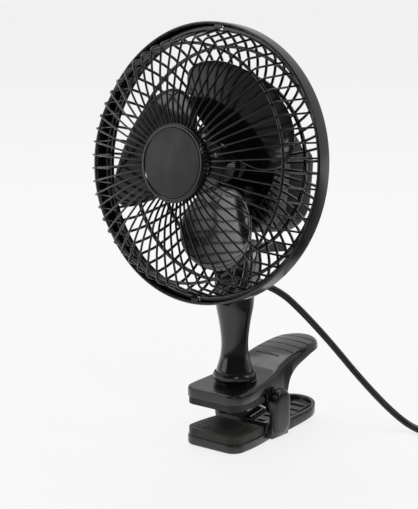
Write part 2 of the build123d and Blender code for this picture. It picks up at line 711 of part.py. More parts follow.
# ------------------------------------------------------------------ writing
def save(name, shape):
    solids = []
    for piece in shape if isinstance(shape, list) else [shape]:
        solids += piece.solids()
    whole = solids[0] if len(solids) == 1 else Compound(children=solids)
    export_step(whole, f"parts/{name}.step")


def main():
    os.makedirs("parts", exist_ok=True)
    plug_body, plug_pins = plug_parts()
    pieces = {
        "lower_jaw": lower_jaw(), "lower_pad": lower_pad(), "pivot_pin": pivot_pin(),
        "pivot_caps": pivot_caps(), "torsion_spring": torsion_spring(),
        "upper_jaw": upper_jaw(), "upper_pad": upper_pad(),
        "stalk": stalk(), "swivel_screw": swivel_screw(), "swivel_washer": swivel_washer(),
        "tilt_bolt": tilt_bolt(), "tilt_nut": tilt_nut(),
        "front_guard": front_guard(), "rear_guard": rear_guard(), "badge_cap": badge_cap(),
        "guard_screws": guard_screws(), "fan_blade": fan_blade(), "motor_shaft": motor_shaft(),
        "rotor": rotor(), "stator_core": stator_core(), "stator_coils": stator_coils(),
        "motor_bolts": motor_bolts(),
        "front_bracket": bearing_bracket(FRONT_BRACKET, -28.6),
        "rear_bracket": bearing_bracket(REAR_BRACKET, -68.0),
        "front_bearing": bearing(-35.7, -29.2), "rear_bearing": bearing(-67.5, -61.6),
        "front_housing": front_housing(), "rear_housing": rear_housing(),
        "housing_screws": housing_screws(), "switch_body": switch_body(),
        "speed_knob": speed_knob(), "cord_gland": cord_gland(),
        "mains_cord": cord_tube("mains_cord", ROUTE), "cord_coil": cord_coil(),
        "cord_tail": cord_tube("cord_tail", TAIL),
        "plug_body": plug_body, "plug_pins": plug_pins,
    }
    for name, shape in pieces.items():
        save(name, shape)


main()
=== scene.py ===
import json
import math

import bmesh
import bpy
from mathutils import Matrix, Vector


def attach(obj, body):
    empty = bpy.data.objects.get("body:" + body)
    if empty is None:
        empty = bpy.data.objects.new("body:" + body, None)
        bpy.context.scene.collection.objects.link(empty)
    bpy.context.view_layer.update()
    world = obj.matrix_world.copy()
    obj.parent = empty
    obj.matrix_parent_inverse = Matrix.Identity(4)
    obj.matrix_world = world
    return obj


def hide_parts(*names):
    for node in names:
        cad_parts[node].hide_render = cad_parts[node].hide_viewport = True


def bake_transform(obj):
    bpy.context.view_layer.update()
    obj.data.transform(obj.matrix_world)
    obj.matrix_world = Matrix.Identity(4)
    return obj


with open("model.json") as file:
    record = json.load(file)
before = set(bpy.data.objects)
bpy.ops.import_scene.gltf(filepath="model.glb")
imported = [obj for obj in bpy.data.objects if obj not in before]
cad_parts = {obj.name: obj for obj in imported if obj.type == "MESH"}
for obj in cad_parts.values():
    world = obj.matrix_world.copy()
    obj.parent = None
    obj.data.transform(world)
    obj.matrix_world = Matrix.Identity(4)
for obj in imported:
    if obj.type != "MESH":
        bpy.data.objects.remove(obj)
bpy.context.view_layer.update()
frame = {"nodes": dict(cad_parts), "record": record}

MM = 0.001

# ------------------------------------------------------------------ camera and stage
TARGET = Vector((-13.71, 0.0, 127.21)) * MM
AZIMUTH = math.radians(38.44)
ELEVATION = math.radians(12.22)
DISTANCE = 1134.28 * MM
FOCAL_PX = 1724.37           # focal length in pixels of the 418 x 509 frame
LONG_SIDE_PX = 509
SENSOR = 36.0                # long side of the camera's sensor, in mm
LAMP_AIM = Vector((0.0, 0.0, 0.14))    # the lamps face this point, in metres
LAMP_DISTANCE = 1.6
FLOOR_R = 14.0
FLOOR_DROP = 0.00005         # the floor lies this much under the foot
FLOOR_MIDDLE = (-0.28, -0.15, 0.0)     # middle of the bright table that gloss mirrors


def add_object(name, data):
    thing = bpy.data.objects.new(name, data)
    bpy.context.scene.collection.objects.link(thing)
    return thing


def direction(azimuth, elevation):
    """From the object towards a camera or lamp; azimuth 0 stands in front of the fan."""
    flat = math.cos(elevation)
    return Vector((math.sin(azimuth) * flat, -math.cos(azimuth) * flat, math.sin(elevation)))


def spread(tree, value, low, high, start=0.3, end=0.7, curve="LINEAR"):
    """Map a value that goes from start to end onto a range of numbers."""
    node = tree.nodes.new("ShaderNodeMapRange")
    node.interpolation_type = curve
    for socket, number in (
        ("From Min", start), ("From Max", end), ("To Min", low), ("To Max", high),
    ):
        node.inputs[socket].default_value = number
    tree.links.new(value, node.inputs["Value"])
    return node.outputs["Result"]


def along(tree, operation, place, point):
    """A place's distance from a point, or its share of a direction."""
    node = tree.nodes.new("ShaderNodeVectorMath")
    node.operation = operation
    node.inputs[1].default_value = point
    tree.links.new(place, node.inputs[0])
    return node.outputs["Value"]


def add_camera():
    data = bpy.data.cameras.new("camera")
    data.sensor_width = SENSOR
    data.lens = FOCAL_PX / LONG_SIDE_PX * SENSOR
    data.clip_start, data.clip_end = 0.05, 60.0
    camera = add_object("camera", data)
    back = direction(AZIMUTH, ELEVATION)
    camera.location = TARGET + back * DISTANCE
    camera.rotation_euler = (-back).to_track_quat("-Z", "Y").to_euler()
    bpy.context.scene.camera = camera


def add_lamp(name, azimuth, elevation, size, watts):
    """A soft box that faces the middle of the fan."""
    data = bpy.data.lights.new(name, "AREA")
    data.shape = "RECTANGLE"
    data.size, data.size_y = size
    data.energy = watts
    lamp = add_object(name, data)
    back = direction(math.radians(azimuth), math.radians(elevation))
    lamp.location = LAMP_AIM + back * LAMP_DISTANCE
    lamp.rotation_euler = (-back).to_track_quat("-Z", "Y").to_euler()
    lamp.visible_camera = False


def add_world(seen, lit, near, far):
    """Pale for the camera, a soft sky for diffuse light; gloss sees dark in front, pale behind."""
    world = bpy.data.worlds.new("studio")
    bpy.context.scene.world = world
    world.use_nodes = True
    tree = world.node_tree
    tree.nodes.clear()
    out = tree.nodes.new("ShaderNodeOutputWorld")
    path = tree.nodes.new("ShaderNodeLightPath")
    place = tree.nodes.new("ShaderNodeTexCoord")

    def graded(axis, low, high, start, end):
        """A backdrop that goes from one grey to another along a direction of the room."""
        share = along(tree, "DOT_PRODUCT", place.outputs["Generated"], axis)
        shade = tree.nodes.new("ShaderNodeBackground")
        grey = spread(tree, share, low, high, start, end, curve="SMOOTHSTEP")
        tree.links.new(grey, shade.inputs["Strength"])
        return shade.outputs[0]

    def choose(ray, no, yes):
        mix = tree.nodes.new("ShaderNodeMixShader")
        tree.links.new(path.outputs[ray], mix.inputs[0])
        tree.links.new(no, mix.inputs[1])
        tree.links.new(yes, mix.inputs[2])
        return mix.outputs[0]

    white = tree.nodes.new("ShaderNodeBackground")
    white.inputs[0].default_value = (seen, seen, seen * 1.005, 1)
    behind = -direction(AZIMUTH, 0.0)
    soft = graded((0, 0, 1), *lit, start=0.0, end=0.9)
    gloss = graded(behind, near, far, start=-0.35, end=0.2)
    result = choose("Is Camera Ray", choose("Is Glossy Ray", soft, gloss), white.outputs[0])
    tree.links.new(result, out.inputs[0])


def add_floor(colour, glow, near, beside, behind):
    """A pale floor; gloss mirrors it bright round the fan and behind it, and dim far in front."""
    mesh = bpy.data.meshes.new("floor")
    made = bmesh.new()
    bmesh.ops.create_circle(made, cap_ends=True, segments=64, radius=FLOOR_R)
    made.to_mesh(mesh)
    made.free()
    floor = add_object("floor", mesh)
    floor.location.z = -FLOOR_DROP
    paper = bpy.data.materials.new("paper")
    paper.use_nodes = True
    tree = paper.node_tree
    shader = tree.nodes["Principled BSDF"]
    shader.inputs["Base Color"].default_value = (*colour, 1)
    shader.inputs["Roughness"].default_value = 0.9
    shader.inputs["Specular IOR Level"].default_value = 0.1
    path = tree.nodes.new("ShaderNodeLightPath")
    place = tree.nodes.new("ShaderNodeNewGeometry").outputs["Position"]

    def combine(operation, one, two):
        node = tree.nodes.new("ShaderNodeMath")
        node.operation = operation
        for socket, value in zip(node.inputs, (one, two)):
            if isinstance(value, float):
                socket.default_value = value
            else:
                tree.links.new(value, socket)
        return node.outputs[0]

    from_middle = along(tree, "DISTANCE", place, FLOOR_MIDDLE)
    away = along(tree, "DOT_PRODUCT", place, tuple(-direction(AZIMUTH, 0.0)))
    table = spread(tree, from_middle, beside, near, start=0.38, end=0.50)
    sweep = spread(tree, away, near, behind, start=0.05, end=0.35)
    mirrored = combine("MULTIPLY", path.outputs["Is Glossy Ray"], combine("MAXIMUM", table, sweep))
    shown = combine("MULTIPLY", path.outputs["Is Camera Ray"], glow)
    shader.inputs["Emission Color"].default_value = (1, 1, 1, 1)
    tree.links.new(combine("ADD", mirrored, shown), shader.inputs["Emission Strength"])
    mesh.materials.append(paper)


add_camera()
add_world(seen=0.83, lit=(0.04, 0.60), near=0.09, far=0.88)
add_floor(colour=(0.17, 0.17, 0.169), glow=0.80, near=0.07, beside=1.1, behind=1.25)
add_lamp("back_box", azimuth=-125, elevation=62, size=(1.4, 1.1), watts=10.5)
add_lamp("front_box", azimuth=-36, elevation=10, size=(0.9, 0.6), watts=3.2)
add_lamp("key_spot", azimuth=50, elevation=39, size=(0.2, 0.2), watts=4.0)
add_lamp("right_box", azimuth=118, elevation=30, size=(0.35, 1.2), watts=3.6)

# ------------------------------------------------------------------ materials
GRAIN_SCALE = 2500.0
WAVE_SCALE = 60.0
EDGE_LIFT = 0.004            # how much lighter rubbed edges are
BRUSH_SCALE = 900.0


def noise(tree, scale, detail=3.0, stretch=None):
    place = tree.nodes.new("ShaderNodeTexCoord")
    texture = tree.nodes.new("ShaderNodeTexNoise")
    texture.inputs["Scale"].default_value = scale
    texture.inputs["Detail"].default_value = detail
    if stretch:
        mapping = tree.nodes.new("ShaderNodeMapping")
        mapping.inputs["Scale"].default_value = stretch
        tree.links.new(place.outputs["Object"], mapping.inputs[0])
        tree.links.new(mapping.outputs[0], texture.inputs["Vector"])
    else:
        tree.links.new(place.outputs["Object"], texture.inputs["Vector"])
    return texture.outputs["Fac"]


def tones(tree, value, dark, light):
    node = tree.nodes.new("ShaderNodeMix")
    node.data_type = "RGBA"
    node.inputs["A"].default_value = (*dark, 1)
    node.inputs["B"].default_value = (*light, 1)
    tree.links.new(value, node.inputs["Factor"])
    return node.outputs["Result"]


def bump(tree, shader, height, distance, strength):
    node = tree.nodes.new("ShaderNodeBump")
    node.inputs["Distance"].default_value = distance
    node.inputs["Strength"].default_value = strength
    tree.links.new(height, node.inputs["Height"])
    tree.links.new(node.outputs["Normal"], shader.inputs["Normal"])


def worn_edges(tree, base):
    """Lighten a colour a little along sharp edges."""
    shape = tree.nodes.new("ShaderNodeNewGeometry")
    edge = spread(tree, shape.outputs["Pointiness"], 0.0, 1.0, start=0.53, end=0.60)
    node = tree.nodes.new("ShaderNodeMix")
    node.data_type = "RGBA"
    node.blend_type = "ADD"
    tree.links.new(edge, node.inputs["Factor"])
    tree.links.new(base, node.inputs["A"])
    node.inputs["B"].default_value = (EDGE_LIFT, EDGE_LIFT, EDGE_LIFT, 1)
    return node.outputs["Result"]


def material(name):
    made = bpy.data.materials.new(name)
    made.use_nodes = True
    return made, made.node_tree, made.node_tree.nodes["Principled BSDF"]


def plastic(name, colour, rough, grain=0.0, shine=0.4):
    """Moulded plastic: uneven gloss, a faint waviness or grain, and edges rubbed lighter."""
    made, tree, shader = material(name)
    cloud = noise(tree, 38.0, 4.0)
    darker = tuple(c * 0.82 for c in colour)
    lighter = tuple(c * 1.2 for c in colour)
    base = tones(tree, spread(tree, cloud, 0, 1), darker, lighter)
    tree.links.new(worn_edges(tree, base), shader.inputs["Base Color"])
    streaks = noise(tree, 90.0, 5.0, (1.0, 1.0, 0.35))
    tree.links.new(spread(tree, streaks, rough * 0.82, rough * 1.25), shader.inputs["Roughness"])
    shader.inputs["Specular IOR Level"].default_value = shine
    if grain:
        bump(tree, shader, noise(tree, GRAIN_SCALE, 2.0), 0.0002, grain)
    else:
        bump(tree, shader, noise(tree, WAVE_SCALE, 2.0), 0.0006, 0.06)
    return made


def metal(name, colour, rough):
    """Metal with fine drawn lines in its colour, its gloss and its surface."""
    made, tree, shader = material(name)
    lines = noise(tree, BRUSH_SCALE, 3.0, (1.0, 1.0, 0.05))
    darker = tuple(c * 0.8 for c in colour)
    tree.links.new(
        tones(tree, spread(tree, lines, 0, 1), darker, colour), shader.inputs["Base Color"],
    )
    tree.links.new(spread(tree, lines, rough * 0.8, rough * 1.3), shader.inputs["Roughness"])
    shader.inputs["Metallic"].default_value = 1.0
    bump(tree, shader, lines, 0.00005, 0.25)
    return made


MATERIALS = {
    "clip_black": plastic("clip_black", (0.0100, 0.0084, 0.0074), 0.20, shine=0.5),
    "pad_rubber": plastic("pad_rubber", (0.026, 0.026, 0.022), 0.55, grain=0.35, shine=0.35),
    "stalk_black": plastic("stalk_black", (0.0100, 0.0082, 0.0068), 0.13, shine=0.5),
    "guard_black": plastic("guard_black", (0.0096, 0.0076, 0.0060), 0.19, shine=0.5),
    "blade_black": plastic("blade_black", (0.0088, 0.0074, 0.0060), 0.08, shine=0.8),
    "badge_grey": plastic("badge_grey", (0.036, 0.0345, 0.035), 0.42, grain=0.25, shine=0.4),
    "housing_black": plastic("housing_black", (0.0125, 0.0098, 0.0082), 0.36, grain=0.3, shine=0.2),
    "knob_black": plastic("knob_black", (0.010, 0.0093, 0.0088), 0.35, grain=0.15, shine=0.4),
    "switch_plastic": plastic("switch_plastic", (0.30, 0.28, 0.24), 0.5),
    "cord_black": plastic("cord_black", (0.019, 0.0185, 0.018), 0.42, grain=0.15, shine=0.4),
    "plug_black": plastic("plug_black", (0.012, 0.012, 0.012), 0.42, grain=0.3, shine=0.4),
    "steel": metal("steel", (0.55, 0.55, 0.54), 0.3),
    "laminated_iron": metal("laminated_iron", (0.20, 0.20, 0.21), 0.45),
    "winding_copper": metal("winding_copper", (0.60, 0.27, 0.13), 0.35),
    "bearing_bronze": metal("bearing_bronze", (0.50, 0.34, 0.18), 0.4),
    "plug_brass": metal("plug_brass", (0.66, 0.63, 0.58), 0.22),
}

for row in frame["record"]["subparts"]:
    node = frame["nodes"][row["node"]]
    node.data.materials.clear()
    node.data.materials.append(MATERIALS[row["material_slot"]])

# ------------------------------------------------------------------ mesh helpers
HEAD_TILT = math.radians(7.83)
RING_CENTRE = Vector((0, -19.8, 191.5)) * MM
HEAD = Matrix.Translation(RING_CENTRE) @ Matrix((
    (1, 0, 0, 0),
    (0, math.sin(HEAD_TILT), -math.cos(HEAD_TILT), 0),
    (0, math.cos(HEAD_TILT), math.sin(HEAD_TILT), 0),
    (0, 0, 0, 1),
)) @ Matrix.Scale(MM, 4)     # from the head's own axes, in mm, to the room
FLAT_ANGLE = math.radians(0.6)         # faces that differ by less are one face
SHARP_ANGLE = math.radians(40)         # edges that turn by more are rounded
JOIN = 0.002                           # vertices closer than this are one vertex
BAR_SIDES = 10                         # vertices round a guard's rib


def finish_piece(made, name, body, slot, nodes, place=None, smooth=35):
    """Turn a bmesh in millimetres into a piece that rides on a body and stands for CAD nodes."""
    bmesh.ops.recalc_face_normals(made, faces=made.faces)
    made.transform(place or Matrix.Scale(MM, 4))
    mesh = bpy.data.meshes.new(name)
    made.to_mesh(mesh)
    made.free()
    mesh.materials.append(MATERIALS[slot])
    piece = add_object(name, mesh)
    for polygon in mesh.polygons:
        polygon.use_smooth = True
    mesh.set_sharp_from_angle(angle=math.radians(smooth))
    if body:
        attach(piece, body)
    if nodes:
        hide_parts(*nodes)
    return piece


def rounded(points, radius, steps=4, closed=False):
    """A 2-D outline with its corners turned into arcs; radius is one number or one per corner."""
    count = len(points)
    radii = radius if isinstance(radius, (list, tuple)) else [radius] * count
    out = []
    for i, here in enumerate(points):
        here = Vector(here)
        if not closed and i in (0, count - 1) or radii[i] <= 0:
            out.append(here)
            continue
        before, after = Vector(points[i - 1]) - here, Vector(points[(i + 1) % count]) - here
        half = before.angle(after) / 2
        reach = min(radii[i] / math.tan(half), 0.49 * before.length, 0.49 * after.length)
        r = reach * math.tan(half)
        inward = (before.normalized() + after.normalized()).normalized()
        centre = here + inward * (r / math.sin(half))
        first, last = here + before.normalized() * reach, here + after.normalized() * reach
        a0 = math.atan2(*(first - centre).yx)
        turn = math.atan2(*(last - centre).yx) - a0
        turn = (turn + math.pi) % (2 * math.pi) - math.pi
        out += [
            centre + Vector((math.cos(a0 + turn * k / steps), math.sin(a0 + turn * k / steps))) * r
            for k in range(steps + 1)
        ]
    return out


def bridge(made, rings):
    """Join rings of equally many vertices, each to the next, with four-sided faces."""
    for one, two in zip(rings, rings[1:]):
        for k in range(len(one)):
            n = (k + 1) % len(one)
            made.faces.new((one[k], one[n], two[n], two[k]))


def lathe(made, profile, segments=96, closed=True):
    """Turn an outline of (radius, height) points about Z; points on the axis become one vertex."""
    rings = []
    for r, z in profile:
        if r < 1e-6:
            rings.append([made.verts.new((0, 0, z))])
            continue
        turns = [2 * math.pi * k / segments for k in range(segments)]
        rings.append([made.verts.new((r * math.cos(a), r * math.sin(a), z)) for a in turns])
    pairs = list(zip(rings, rings[1:])) + ([(rings[-1], rings[0])] if closed else [])
    for one, two in pairs:
        if len(one) == len(two):
            if len(one) > 1:
                bridge(made, (one, two))
            continue
        for k in range(segments):
            n = (k + 1) % segments
            if len(one) == 1:
                made.faces.new((one[0], two[n], two[k]))
            else:
                made.faces.new((one[k], one[n], two[0]))


def bar(made, route, half_thick, half_wide, angle):
    """A bent bar of oval section, in the plane that holds Z and stands at an angle about it."""
    out = Vector((math.cos(angle), math.sin(angle), 0))
    side = Vector((-math.sin(angle), math.cos(angle), 0))
    rings = []
    for i, (r, z) in enumerate(route):
        ahead = Vector(route[min(i + 1, len(route) - 1)]) - Vector(route[max(i - 1, 0)])
        ahead.normalize()
        normal = out * -ahead.y + Vector((0, 0, ahead.x))
        centre = out * r + Vector((0, 0, z))
        rings.append([
            made.verts.new(
                centre
                + normal * half_thick * math.cos(2 * math.pi * k / BAR_SIDES)
                + side * half_wide * math.sin(2 * math.pi * k / BAR_SIDES)
            ) for k in range(BAR_SIDES)
        ])
    bridge(made, rings)
    made.faces.new(rings[0][::-1])
    made.faces.new(rings[-1])


def cad_shape(name):
    """A CAD node's mesh in millimetres with its vertices joined."""
    made = bmesh.new()
    made.from_mesh(frame["nodes"][name].data)
    made.transform(Matrix.Scale(1 / MM, 4))
    bmesh.ops.remove_doubles(made, verts=made.verts, dist=JOIN)
    return made


def softened(name, body, slot, width):
    """A CAD node's own shape with its flat faces joined and its sharp edges rounded."""
    made = cad_shape(name)
    bmesh.ops.dissolve_limit(
        made, angle_limit=FLAT_ANGLE, use_dissolve_boundaries=False,
        verts=made.verts, edges=made.edges, delimit=set(),
    )
    sharp = [
        edge for edge in made.edges
        if len(edge.link_faces) == 2 and edge.calc_face_angle(0) > SHARP_ANGLE
    ]
    bmesh.ops.bevel(
        made, geom=sharp, offset=width, offset_type="OFFSET", segments=2, profile=0.5,
        affect="EDGES", clamp_overlap=False, miter_outer="SHARP", miter_inner="SHARP",
    )
    return finish_piece(made, name + "_soft", body, slot, [name])


# ------------------------------------------------------------------ cord
CORD_D = 4.7
ON_FLOOR = CORD_D / 2 + 0.05
COIL_R = 26.0
COIL_COLUMNS = 4
COIL_CENTRE = (132.0, 126.0)
PER_TURN = 16                # points in each turn of the coil
ROUTE = [
    (1.8, 40.3, 101.6), (6.5, 52.5, 95.4), (14.0, 64.0, 82.3), (22.0, 75.0, 67.5),
    (31.0, 83.5, 53.0), (42.0, 89.5, 38.2), (54.5, 93.5, 24.9), (68.0, 97.0, 12.6),
    (83.0, 98.0, 4.0), (99.0, 95.6, ON_FLOOR), (117.0, 93.3, ON_FLOOR),
]
TAIL = [
    (155.5, 92.4, ON_FLOOR), (167.0, 87.0, ON_FLOOR), (174.0, 74.5, ON_FLOOR),
    (175.0, 61.5, 3.2), (175.0, 49.0, 6.0),
]


def ease(x):
    x = min(1.0, max(0.0, x))
    return x * x * (3 - 2 * x)


def ramp(value, start, end):
    return ease((value - start) / (end - start))


def coil_turns():
    """Turns side by side on the floor from the outside in, then back out on top of them."""
    columns = [COIL_R + CORD_D * ((COIL_COLUMNS - 1) / 2 - i) for i in range(COIL_COLUMNS)]
    places = [(r, ON_FLOOR) for r in columns] + [(r, ON_FLOOR + CORD_D) for r in columns[::-1]]
    places.append((columns[0] + CORD_D, ON_FLOOR))
    last = len(places) - 2
    points = []
    for k in range((last + 1) * PER_TURN + 2):
        turn = min(k // PER_TURN, last)
        part = k / PER_TURN - turn         # each turn shifts to the next place near its end
        here, after = places[turn], places[turn + 1]
        out = ease((part - 0.82) / 0.18) if turn == last else ease((part - 0.75) / 0.25)
        down = ease((part - 0.93) / 0.13) if turn == last else out
        if here[0] == after[0]:
            down = ease((part - 0.5) / 0.4)
        r = here[0] + (after[0] - here[0]) * out
        z = here[1] + (after[1] - here[1]) * down
        a = math.radians(-90) + 2 * math.pi * part
        points.append((COIL_CENTRE[0] + r * math.cos(a), COIL_CENTRE[1] + r * math.sin(a), z))
    return points


def add_cord():
    points = ROUTE + coil_turns() + TAIL
    data = bpy.data.curves.new("mains_lead", "CURVE")
    data.dimensions = "3D"
    spline = data.splines.new("NURBS")
    spline.points.add(len(points) - 1)
    for point, place in zip(spline.points, points):
        point.co = (*(Vector(place) * MM), 1.0)
    spline.order_u = 3
    spline.use_endpoint_u = True
    data.resolution_u = 6
    data.bevel_depth = CORD_D / 2 * MM
    data.bevel_resolution = 4
    data.use_fill_caps = True
    data.materials.append(MATERIALS["cord_black"])
    lead = add_object("mains_lead", data)
    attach(lead, "stalk")
    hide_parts("mains_cord", "cord_coil", "cord_tail")
    return lead


lead = add_cord()
plug = softened("plug_body", "stalk", "plug_black", 0.4)

# ------------------------------------------------------------------ guards
RING_R = 90.0
FRONT_RIBS = 56
FRONT_FIRST = math.radians(1.5)
REAR_RIBS = 58
REAR_FIRST = math.radians(1.0)
TABS = 6
GUARD_FACE = 30.6
GUARD_BACK = -27.9
RIM_TOP = -0.8
BADGE_R = 25.0
BADGE_DOME_R = 200.0


def box(made, low, high, turn):
    """A plain block between two corners, turned about Z."""
    low, high = Vector(low), Vector(high)
    for vert in bmesh.ops.create_cube(made, size=1.0)["verts"]:
        at = Vector(low[i] + (high[i] - low[i]) * (vert.co[i] + 0.5) for i in range(3))
        vert.co = Matrix.Rotation(turn, 3, "Z") @ at


def carved(made, cutter):
    """One mesh less another, by an exact boolean."""
    objects = []
    for part in (made, cutter):
        bmesh.ops.recalc_face_normals(part, faces=part.faces)
        mesh = bpy.data.meshes.new("carving")
        part.to_mesh(mesh)
        part.free()
        objects.append(add_object("carving", mesh))
    cut = objects[0].modifiers.new("cut", "BOOLEAN")
    cut.operation, cut.solver, cut.object = "DIFFERENCE", "EXACT", objects[1]
    graph = bpy.context.evaluated_depsgraph_get()
    result = bmesh.new()
    result.from_object(objects[0], graph)
    for thing in objects:
        mesh = thing.data
        bpy.data.objects.remove(thing)
        bpy.data.meshes.remove(mesh)
    return result


def around_tabs():
    return [math.radians(30 + 360 / TABS * i) for i in range(TABS)]


def front_guard():
    """The front grille: a rim with slots, ribs, a shoulder ring and the ring round the badge."""
    rim = bmesh.new()
    lathe(rim, rounded([
        (84.2, -4.8), (88.0, -4.8), (88.0, RIM_TOP - 0.8), (87.2, RIM_TOP), (84.9, RIM_TOP),
        (84.2, RIM_TOP - 0.7),
    ], 0.35, steps=2, closed=True), segments=240)
    slots = bmesh.new()
    for turn in around_tabs():
        box(slots, (85.0, -3.4, -6), (87.6, 3.4, 1), turn)
    made = carved(rim, slots)
    route = rounded(
        [(21.5, GUARD_FACE - 0.3), (37, 33.2), (57, 29), (78.4, 21.2), (84.9, -2.8)],
        [0, 40, 80, 5, 0], steps=8,
    )
    for i in range(FRONT_RIBS):
        bar(made, route, 0.85, 0.62, FRONT_FIRST + 2 * math.pi * i / FRONT_RIBS)
    lathe(made, rounded(
        [(74.3, 20.7), (76.3, 20.7), (76.3, 21.9), (74.3, 22.3)], 0.5, steps=3, closed=True,
    ), segments=200)
    lathe(made, rounded([
        (19.5, GUARD_FACE - 3.0), (24.2, GUARD_FACE - 3.0), (24.2, GUARD_FACE + 1.2),
        (19.5, GUARD_FACE + 1.2),
    ], 0.8, steps=3, closed=True), segments=120)
    finish_piece(made, "front_grille", "head", "guard_black", ["front_guard"], HEAD)


def rear_guard():
    """The rear basket: a rim with slits and hooks, ribs, two bands and the centre plate."""
    rim = bmesh.new()
    lathe(rim, rounded([
        (83.8, -7.0), (89.2, -7.0), (RING_R, -6.2), (RING_R, 3.9), (89.4, 4.6), (88.8, 4.6),
        (88.3, 4.0), (88.3, -4.9), (83.8, -4.9),
    ], 0.45, steps=3, closed=True), segments=240)
    slits = bmesh.new()
    for turn in around_tabs():
        for inner in (85.0, 86.65):
            box(slits, (inner, -3.4, -8), (inner + 0.85, 3.4, -4), turn)
    made = carved(rim, slits)
    for turn in around_tabs():
        box(made, (85.9, -2.8, -5), (86.6, 2.8, 0.4), turn)
        box(made, (85.9, -2.8, -0.7), (88.4, 2.8, 0.4), turn)
    route = rounded(
        [(33, GUARD_BACK), (52, GUARD_BACK), (70, -21.8), (79.5, -14.5), (84.6, -5.9)],
        [0, 60, 40, 14, 0], steps=8,
    )
    for i in range(REAR_RIBS):
        bar(made, route, 1.0, 0.92, REAR_FIRST + 2 * math.pi * i / REAR_RIBS)
    for r, w in ((58.8, -25.7), (75.2, -17.9)):
        lathe(made, rounded(
            [(r - 1.1, w - 1.3), (r + 1.1, w - 1.3), (r + 1.1, w + 1.3), (r - 1.1, w + 1.3)],
            0.7, steps=3, closed=True,
        ), segments=200)
    lathe(made, rounded([
        (10.5, -29.2), (34.5, -29.2), (34.5, -26.4), (30, -26.4), (30, -27.2), (10.5, -27.2),
    ], 0.4, steps=3, closed=True), segments=160)
    finish_piece(made, "rear_grille", "head", "guard_black", ["rear_guard"], HEAD)


def badge():
    """A shallow bare dome, and a raised glossy rim round it."""
    low = GUARD_FACE + 1.2
    dome = [(r, low + 4.3 - r * r / (2 * BADGE_DOME_R)) for r in (0, 3, 6, 9, 12, 15, 18, 20)]
    rim = rounded([
        (21.8, low + 2.6), (22.6, low + 3.5), (BADGE_R - 0.7, low + 3.4), (BADGE_R, low + 1.6),
        (BADGE_R - 0.6, low), (17.2, low), (17.2, low - 3.4),
    ], [0, 0.7, 1.5, 1.2, 0.4, 0, 0])
    made, edge = bmesh.new(), bmesh.new()
    lathe(made, dome + [(21.6, low + 3.1), (21.6, low + 0.6)], segments=128, closed=False)
    lathe(edge, rim + [(21.0, low - 3.4), (21.0, low + 2.6)], segments=128)
    finish_piece(edge, "badge_rim", "head", "guard_black", ["badge_cap"], HEAD)
    finish_piece(made, "badge_cover", "head", "badge_grey", ["badge_cap"], HEAD)


front_guard()
rear_guard()
badge()

# ------------------------------------------------------------------ blade
BLADES = 3
BLADE_FIRST = math.radians(48)
BLADE_PITCH = math.radians(18)
BLADE_T = 1.8
CAMBER_R = 149.1             # the leaf's middle sheet is bent to this radius
CAMBER_TOP = 147.8           # and its circle's centre stands this much ahead of the wheel
HUB_R = 19.0
CROWN_BASE = 3.0             # the hub's oval crown starts here
CROWN_RISE = 12.2
LEAF_MIDDLE = (42, 2)
LEAF_STEPS = (               # share of the outline, and share of the thickness there
    (1.0, 0.0), (0.992, 0.55), (0.975, 0.82), (0.94, 0.96), (0.86, 1), (0.74, 1), (0.6, 1),
    (0.45, 1), (0.3, 1), (0.15, 1),
)
ROOT_SWELL = 1.6             # share of thickness that a leaf gains where it meets the hub
ROOT_REACH = 2.2             # and how far outwards that fades
LEAF = [
    (15, 8.5), (20.5, 24), (30, 36.5), (40, 42), (51, 39.5), (61.5, 28.5), (68, 8),
    (67.5, -10), (61, -26), (49, -36), (36, -36.5), (24, -28), (15, -8.5),
]


def leaf_height(across):
    """Height of the pitched, curved leaf above a point this far across its middle line."""
    local = across
    for _ in range(6):
        rise = CAMBER_TOP - math.sqrt(CAMBER_R**2 - local**2)
        local = (across + rise * math.sin(BLADE_PITCH)) / math.cos(BLADE_PITCH)
    rise = CAMBER_TOP - math.sqrt(CAMBER_R**2 - local**2)
    return local * math.sin(BLADE_PITCH) + rise * math.cos(BLADE_PITCH)


def smooth_loop(points, per_span):
    """Catmull-Rom through points, left open at the ends."""
    out = []
    for i in range(len(points) - 1):
        p = [Vector(points[min(max(i + k, 0), len(points) - 1)]) for k in (-1, 0, 1, 2)]
        for s in range(per_span):
            t = s / per_span
            out.append(0.5 * (
                2 * p[1] + (p[2] - p[0]) * t + (2 * p[0] - 5 * p[1] + 4 * p[2] - p[3]) * t**2
                + (3 * p[1] - p[0] - 3 * p[2] + p[3]) * t**3
            ))
    out.append(Vector(points[-1]))
    return out


def leaf(made, angle):
    """One leaf: rings of vertices on both faces, which share the ring along its edge."""
    edge = smooth_loop(LEAF, 6)
    edge += [Vector((15, -8.5 + 17 * k / 6)) for k in range(1, 6)]
    middle = Vector(LEAF_MIDDLE)
    turn = Matrix.Rotation(angle, 3, "Z")
    rim = None
    for side in (1, -1):
        rings = []
        for share, thick in LEAF_STEPS:
            if rim and thick == 0:
                rings.append(rim)
                continue
            ring = []
            for point in edge:
                at = middle + (point - middle) * share
                root = 1 + ROOT_SWELL * math.exp(-max(0.0, at.length - HUB_R) / ROOT_REACH)
                z = leaf_height(at.y) + side * BLADE_T / 2 * thick * root
                ring.append(made.verts.new(turn @ Vector((at.x, at.y, z))))
            rings.append(ring)
        z = leaf_height(middle.y) + side * BLADE_T / 2
        tip = made.verts.new(turn @ Vector((middle.x, middle.y, z)))
        bridge(made, rings)
        last = rings[-1]
        for k in range(len(last)):
            made.faces.new((last[k], last[(k + 1) % len(last)], tip))
        rim = rings[0]


